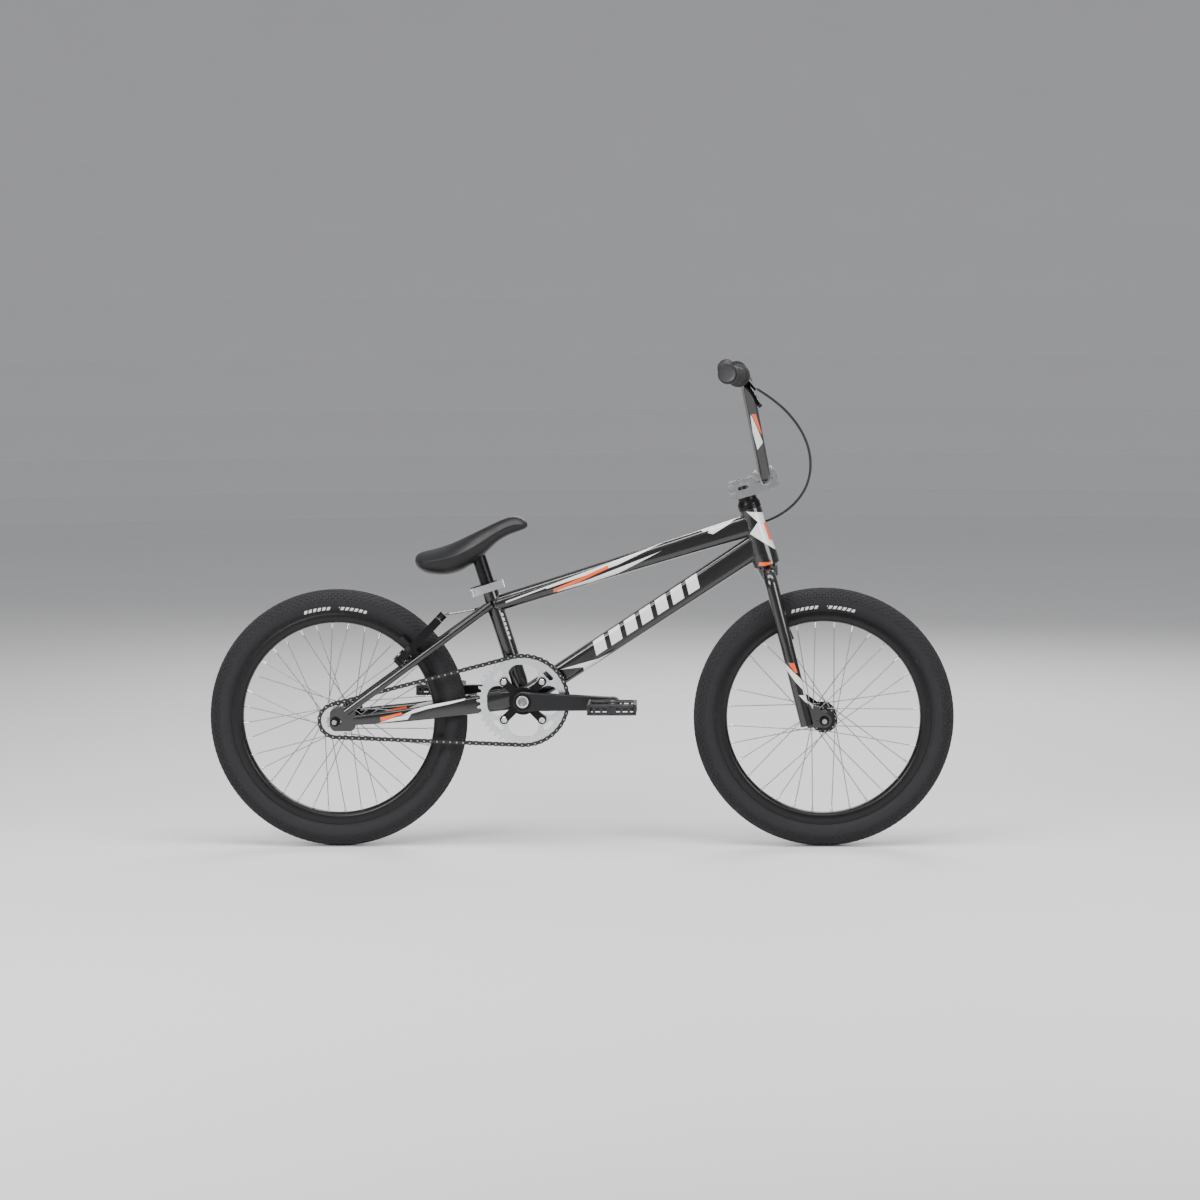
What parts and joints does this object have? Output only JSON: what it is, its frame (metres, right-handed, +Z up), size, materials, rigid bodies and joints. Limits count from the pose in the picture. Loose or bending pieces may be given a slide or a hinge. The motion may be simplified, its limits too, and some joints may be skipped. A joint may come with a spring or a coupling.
{
  "type": "bmx bike",
  "caption": "Small-wheeled bicycle with a low frame, high handlebar, single-speed chain drive, rear rim brake and quick-release seat clamp.",
  "frame": {"origin": "on the ground, midway between the two axles, in the middle plane", "axes": "+X forward, +Y to the rider's left, +Z up"},
  "size_m": [1.4528, 0.7498, 0.9441],
  "materials": {
    "frame_paint": "gloss black paint over steel",
    "black_alloy": "black anodised",
    "bright_alloy": "polished",
    "steel": "bright steel",
    "tyre_rubber": "matt, knobbly tread",
    "soft_rubber": "matt",
    "plastic": "fine matt texture",
    "cable_jacket": "smooth satin jacket"
  },
  "bodies": {
    "frame": {"head_tube": "frame_paint", "top_tube": "frame_paint", "down_tube": "frame_paint", "seat_tube": "frame_paint", "bottom_bracket_shell": "frame_paint", "seat_stays": "frame_paint", "chainstays": "frame_paint", "stay_bridges": "frame_paint", "rear_dropouts": "frame_paint", "headset_cups": "black_alloy", "bottom_bracket_bearings": "black_alloy", "rear_axle": "steel", "rear_axle_nuts": "steel", "chain_tensioners": "steel", "seat_clamp_collar": "bright_alloy", "seat_clamp_skewer": "steel", "chain": "steel", "rear_brake_cable": "cable_jacket", "front_brake_cable": "cable_jacket"},
    "fork": {"fork_crown": "frame_paint", "fork_legs": "frame_paint", "headset_top_cover": "black_alloy", "stem_body": "bright_alloy", "stem_bar_cap": "bright_alloy", "stem_bolts": "steel", "handlebar": "frame_paint", "grips": "soft_rubber", "bar_end_plugs": "plastic", "lever_perch": "black_alloy", "cable_adjuster": "bright_alloy", "front_axle": "steel", "front_axle_nuts": "steel"},
    "front_wheel": {"front_tyre": "tyre_rubber", "front_inner_tube": "soft_rubber", "front_rim": "black_alloy", "front_spokes": "steel", "front_hub": "black_alloy"},
    "rear_wheel": {"rear_tyre": "tyre_rubber", "rear_inner_tube": "soft_rubber", "rear_rim": "black_alloy", "rear_spokes": "steel", "rear_hub": "black_alloy"},
    "freewheel": {"freewheel_cog": "steel"},
    "crank": {"crank_spindle": "steel", "crank_arm_right": "black_alloy", "crank_arm_left": "black_alloy", "chainring": "bright_alloy", "chainring_bolts": "steel", "pedal_axles": "steel"},
    "pedal_right": {"pedal_right": "plastic"},
    "pedal_left": {"pedal_left": "plastic"},
    "brake_arm_right": {"brake_arm_right": "black_alloy", "brake_pad_right": "soft_rubber"},
    "brake_arm_left": {"brake_arm_left": "black_alloy", "brake_pad_left": "soft_rubber", "brake_noodle": "bright_alloy"},
    "brake_lever": {"brake_lever_blade": "black_alloy"},
    "seat_lever": {"seat_clamp_lever": "bright_alloy"},
    "seatpost": {"seatpost": "black_alloy", "saddle": "plastic"}
  },
  "joints": [
    {"name": "steering", "type": "hinge", "parent": "frame", "child": "fork", "pos_m": [0.45043, 0, 0.24638], "axis": [-0.2756, 0, 0.9613], "range_deg": [-75, 75], "deforming": ["front_brake_cable"]},
    {"name": "front_wheel_spin", "type": "hinge", "parent": "fork", "child": "front_wheel", "pos_m": [0.4735, 0, 0.253], "axis": [0, 1, 0], "continuous": true},
    {"name": "rear_wheel_spin", "type": "hinge", "parent": "frame", "child": "rear_wheel", "pos_m": [-0.4735, 0, 0.253], "axis": [0, 1, 0], "continuous": true},
    {"name": "crank_spin", "type": "hinge", "parent": "frame", "child": "crank", "pos_m": [-0.1085, 0, 0.292], "axis": [0, 1, 0], "continuous": true, "deforming": ["chain"]},
    {"name": "freewheel_spin", "type": "hinge", "parent": "frame", "child": "freewheel", "pos_m": [-0.4735, 0, 0.253], "axis": [0, 1, 0], "continuous": true},
    {"name": "pedal_right_spin", "type": "hinge", "parent": "crank", "child": "pedal_right", "pos_m": [0.06645, 0, 0.28772], "axis": [0, 1, 0], "continuous": true},
    {"name": "pedal_left_spin", "type": "hinge", "parent": "crank", "child": "pedal_left", "pos_m": [-0.28345, 0, 0.29628], "axis": [0, 1, 0], "continuous": true},
    {"name": "brake_lever_pull", "type": "hinge", "parent": "fork", "child": "brake_lever", "pos_m": [0.33182, -0.2345, 0.89583], "axis": [-0.7284, 0.0895, -0.6793], "range_deg": [0, 24], "stiffness_Nm_per_rad": 0.6, "springref_deg": -11.46},
    {"name": "brake_arm_right_swing", "type": "hinge", "parent": "frame", "child": "brake_arm_right", "pos_m": [-0.33438, -0.05117, 0.35732], "axis": [-0.7193, 0, 0.6947], "range_deg": [0, 3.2]},
    {"name": "brake_arm_left_swing", "type": "hinge", "parent": "frame", "child": "brake_arm_left", "pos_m": [-0.33438, 0.05117, 0.35732], "axis": [-0.7193, 0, 0.6947], "range_deg": [-3.2, 0], "deforming": ["rear_brake_cable"]},
    {"name": "seatpost_slide", "type": "slide", "parent": "frame", "child": "seatpost", "axis": [-0.3024, 0, 0.9532], "range_m": [-0.03, 0.06]},
    {"name": "seat_lever_turn", "type": "hinge", "parent": "frame", "child": "seat_lever", "pos_m": [-0.20331, -0.0258, 0.5006], "axis": [0.3024, 0, -0.9532], "range_deg": [0, 170]}
  ],
  "couplings": [
    {"joint": "freewheel_spin", "follows": "crank_spin", "ratio": 2.6875},
    {"joint": "brake_arm_right_swing", "follows": "brake_lever_pull", "ratio": 0.13333},
    {"joint": "brake_arm_left_swing", "follows": "brake_lever_pull", "ratio": -0.13333}
  ]
}
